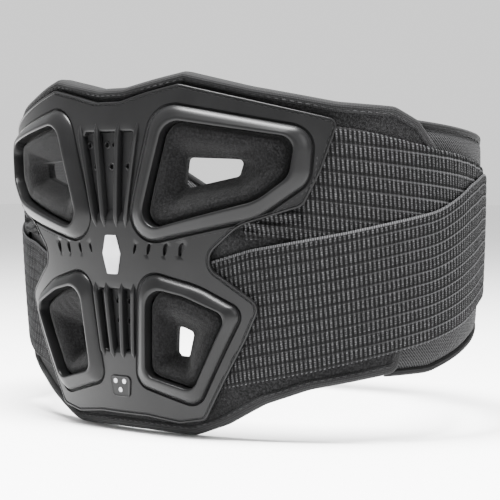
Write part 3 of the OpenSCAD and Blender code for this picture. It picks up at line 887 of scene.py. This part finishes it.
def build_panels(left):
    side = "left" if left else "right"
    lift = 0.0 if left else LAP_LIFT
    line = path(inset(WING, 4.3), 10, 8)
    end = float(line[:, 0].max()) - 0.01

    def outer(s, z, v):
        quilting = 0.3 * waves(s, z, 31, 26) + 0.15
        depth = PANEL_T / 2 + np.minimum(quilting, 0) * (s < 340)
        return panel_face(s, lift) - PANEL_T / 2 + depth * soft_edge(v, 90, 0.8)

    def inner(s, z, v):
        rows = np.abs(np.sin(math.pi * (z - 4) / 19)) ** 0.5
        return panel_face(s, lift) - PANEL_T / 2 - (PANEL_T / 2 - 0.5 + 0.5 * rows) * soft_edge(v, 90, 0.8)

    skin = Skin()
    ribbon(skin, line, 170, end, 2.0, 44, outer, inner)
    panel = skin.make(f"panel_{side}", TWILL, left, angle=60)
    fold_with(panel, left, FOLD_S)
    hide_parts(f"side_panel_{side}", f"front_panel_{side}")

    rim = path(inset(WING, PIPING_R), 16, 10)
    start = [i for i in range(len(rim)) if rim[i, 0] > 172]
    first = next(i for i in start if i - 1 not in start)
    core = np.array([rim[(first + k) % len(rim)] for k in range(len(start))])
    core = even(core, 2.2, closed=False)
    way = np.gradient(core, axis=0)
    way /= np.hypot(*way.T)[:, None]
    out = np.stack([-way[:, 1], way[:, 0]], -1)
    a = np.linspace(0, 2 * math.pi, 13)[:-1]
    r = PIPING_R - 0.1
    middle = panel_face(core[:, 0], lift) - PANEL_T / 2
    rings = np.concatenate([core[:, None, :] + out[:, None, :] * (r * np.cos(a))[None, :, None],
                            (middle[:, None] + r * np.sin(a)[None, :])[..., None]], -1)
    skin = Skin()
    closed_bar(skin, rings, u=np.arange(len(core)) * 2.2)
    piping = skin.make(f"piping_{side}", PIPING, left, angle=60)
    fold_with(piping, left, FOLD_S)
    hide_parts(f"side_piping_{side}", f"front_piping_{side}")


def rib_height(s, across, row):
    """Fine upright ribs, parted by shallow lengthwise lines."""
    rib = 0.15 * np.sin(2 * math.pi * (s + 0.07 * across) / 2.6)
    line = 0.25 * np.exp(-((np.mod(across, row) - row / 4) / 0.8) ** 2)
    return rib - line - 0.16


def band_across(s, z, v):
    return z + 0.12 * (s - 120)


def strap_across(s, z, v):
    return v * STRAP_ROWS * STRAP_ROW


def build_band(left):
    side = "left" if left else "right"

    def outer(s, z, v):
        gathers = smooth(5, 9, z) * (1 - smooth(19, 24, z)) * (1 - smooth(112, 128, s))
        pucker = smooth(0.72, 1, v) * smooth(160, 200, s) * (1 - smooth(250, 290, s)) \
            * (0.5 + 0.5 * np.sin(2 * math.pi * s / 12 + 1.5 * np.sin(s / 17)))
        fold = gathers * (0.5 + 0.5 * np.sin(2 * math.pi * z / 6.5 + s / 11 + 0.8 * np.sin(s / 5.0)))
        depth = ELASTIC_T * 0.5 + rib_height(s, band_across(s, z, v), BAND_ROW)
        return band_face(s, 0) + ELASTIC_T * 0.5 + depth * soft_edge(v, 80, 0.6) + 1.9 * fold + 1.1 * pucker

    def inner(s, z, v):
        return band_face(s, 0) + ELASTIC_T * 0.5 * (1 - soft_edge(v, 80, 0.6)) + 0 * z

    skin = Skin()
    ribbon(skin, path(BAND, 6, 6), 87.2, 334.8, 0.65, 64, outer, inner, across=band_across)
    band = skin.make(f"inner_band_{side}", BAND_ELASTIC, left, angle=70)
    fold_with(band, left, FOLD_S)
    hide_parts(f"inner_band_rear_{side}", f"inner_band_front_{side}")
    return band


def strap_start(z):
    """Where the strap comes out from under the shell."""
    return np.interp(z, [-86, -80, -65, -50, -38, -30, -20, -11, 0], [66, 69, 77, 85, 89, 84, 70, 61.5, 60])


def build_strap(left, band):
    side = "left" if left else "right"
    lift = 0.0 if left else LAP_LIFT
    line = path(STRAP, 6, 6)

    def outer(s, z, v):
        selvedge = 0.25 * np.exp(-(1 - v) * 76 / 0.9) * (1 + np.sin(2 * math.pi * s / 2.6))
        depth = ELASTIC_T * 0.5 + rib_height(s, strap_across(s, z, v), STRAP_ROW)
        return strap_face(s, lift) + ELASTIC_T * 0.5 + depth * soft_edge(v, 76, 0.6) + selvedge

    def inner(s, z, v):
        return strap_face(s, lift) + ELASTIC_T * 0.5 * (1 - soft_edge(v, 76, 0.6)) + 0 * z

    skin = Skin()
    ribbon(skin, line, 58.2, 281, 0.65, 66, outer, inner, start=strap_start, across=strap_across)
    rear = skin.make(f"strap_rear_length_{side}", STRAP_ELASTIC, left, angle=70)
    fold_with(rear, left, FOLD_S)
    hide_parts(f"strap_rear_{side}", f"strap_mid_{side}")

    skin = Skin()
    ribbon(skin, line, 281, TAB_S, 0.65, 66, outer, inner, across=strap_across)
    front = skin.make(f"strap_front_length_{side}", STRAP_ELASTIC, left, angle=70)
    fold_with(front, left, STRAP_FOLD_S)
    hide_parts(f"strap_front_{side}")


def patch_line(s0, s1, half_h, r, d=0.0):
    return path(inset([[s0, half_h, r], [s1, half_h, r], [s1, -half_h, r], [s0, -half_h, r]], d), 8, 5)


def build_patch(name, corners, low, high, base, finish, body, left, node, rough=0.0):
    """Flat patch with a softened edge. high can be below low for a patch that faces inwards."""
    skin = Skin()
    rim, core = patch_line(*corners), patch_line(*corners, 1.0)

    def top(p):
        return base(p[:, 0]) + high - rough * (0.5 + 0.5 * waves(p[:, 0], p[:, 1], 9, 3.0))

    mid = (low + high) / 2
    skin.sweep([rim, rim, core], [base(rim[:, 0]) + low, base(rim[:, 0]) + mid, top(core)])
    skin.fill(core, [], top, 1.6)
    skin.fill(rim, [], lambda p: base(p[:, 0]) + low, 5.0)
    piece = skin.make(name, finish, left, angle=60)
    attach(piece, body)
    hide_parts(node)


def build_closure(left):
    side = "left" if left else "right"
    lift = 0.0 if left else LAP_LIFT

    def face(s):
        return strap_face(s, lift)

    def panel(s):
        return panel_face(s, lift)

    skin = Skin()
    corners = (TAB_S + 0.2, TAB_S + TAB_L, 22, 8)
    rings = [(0, 0.05), (0, 1.4), (0.35, 2.3), (1.0, 2.8), (2.4, 2.9), (3.2, 2.2), (4.2, 2.0)]
    lines = [patch_line(*corners, d) for d, _ in rings]
    skin.sweep(lines, [face(line[:, 0]) + h for line, (_, h) in zip(lines, rings)])

    def grip(p):
        away = smooth(4, 7, distance(p, lines[0]))
        return face(p[:, 0]) + 2.0 + 0.8 * away * np.clip(np.sin(2 * math.pi * p[:, 0] / 4.2), 0, 1)

    skin.fill(lines[-1], [], grip, 0.8)
    skin.fill(lines[0], [], lambda p: face(p[:, 0]) + 0.05, 4.0)
    tab = skin.make(f"pull_tab_{side}_moulded", RUBBER, left, angle=50)
    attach(tab, f"strap_{side}")
    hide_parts(f"pull_tab_{side}")

    build_patch(f"hook_field_{side}", (TAB_S - 8, TAB_S + TAB_L - 6, 18, 4), -0.2, -0.9, face, HOOKS,
                f"strap_{side}", left, f"strap_hook_{side}")
    build_patch(f"landing_{side}", (338, TAB_S + TAB_L + 6, 24, 4), 0.3, 1.0, panel, LOOPS,
                f"wing_{side}", left, f"strap_landing_{side}", rough=0.25)
    if left:
        build_patch("closure_loops", (FRONT_S - 26, WING_END - 8, 24, 4), 0.3, 1.0, panel, LOOPS,
                    "wing_left", True, "closure_loop_patch", rough=0.25)
    else:
        build_patch("closure_hooks", (FRONT_S - 22, WING_END - 8, 22, 4), -PANEL_T - 0.2, -PANEL_T - 0.9,
                    panel, HOOKS, "wing_right", False, "closure_hook_patch")


build_shell()
build_badges()
build_vent_panels()
build_cups()
build_back()
for on_left in (False, True):
    build_panels(on_left)
    build_strap(on_left, build_band(on_left))
    build_closure(on_left)


# ---- Floor, light and camera ----

FLOOR_Z = -0.1135
CAMERA_AT = (0.6578, -0.7818, 0.030)
CAMERA_TURN, CAMERA_DIP = math.radians(40.043), math.radians(2.094)
LENS_MM, SENSOR_MM = 112.33, 36

bpy.ops.mesh.primitive_plane_add(size=30, location=(0, 0, FLOOR_Z))
floor = bpy.context.object
floor.name = "floor"
floor.data.materials.append(Paint("floor_paint", (0.9, 0.9, 0.9), 0.9).material)

world = bpy.data.worlds.new("surroundings")
bpy.context.scene.world = world
world.use_nodes = True
world.node_tree.nodes["Background"].inputs["Color"].default_value = (1, 1, 1, 1)
world.node_tree.nodes["Background"].inputs["Strength"].default_value = 1.2


def softbox(name, place, target, size, watts):
    data = bpy.data.lights.new(name, "AREA")
    data.shape = "RECTANGLE"
    data.size, data.size_y = size
    data.energy = watts
    lamp = bpy.data.objects.new(name, data)
    bpy.context.scene.collection.objects.link(lamp)
    lamp.location = place
    lamp.rotation_euler = (Vector(target) - Vector(place)).to_track_quat("-Z", "Y").to_euler()


softbox("softbox_above", (0.15, -0.3, 1.35), (0.05, -0.05, 0), (1.0, 0.5), 230)
softbox("softbox_right", (1.5, -0.2, 0.6), (0.1, 0, 0), (0.5, 0.9), 14)

lens = bpy.data.cameras.new("camera")
lens.sensor_width = SENSOR_MM
lens.lens = LENS_MM
camera = bpy.data.objects.new("camera", lens)
bpy.context.scene.collection.objects.link(camera)
camera.location = CAMERA_AT
level_out = math.cos(CAMERA_DIP)
ahead = Vector((-math.sin(CAMERA_TURN) * level_out, math.cos(CAMERA_TURN) * level_out,
                -math.sin(CAMERA_DIP)))
camera.rotation_euler = ahead.to_track_quat("-Z", "Y").to_euler()
bpy.context.scene.camera = camera
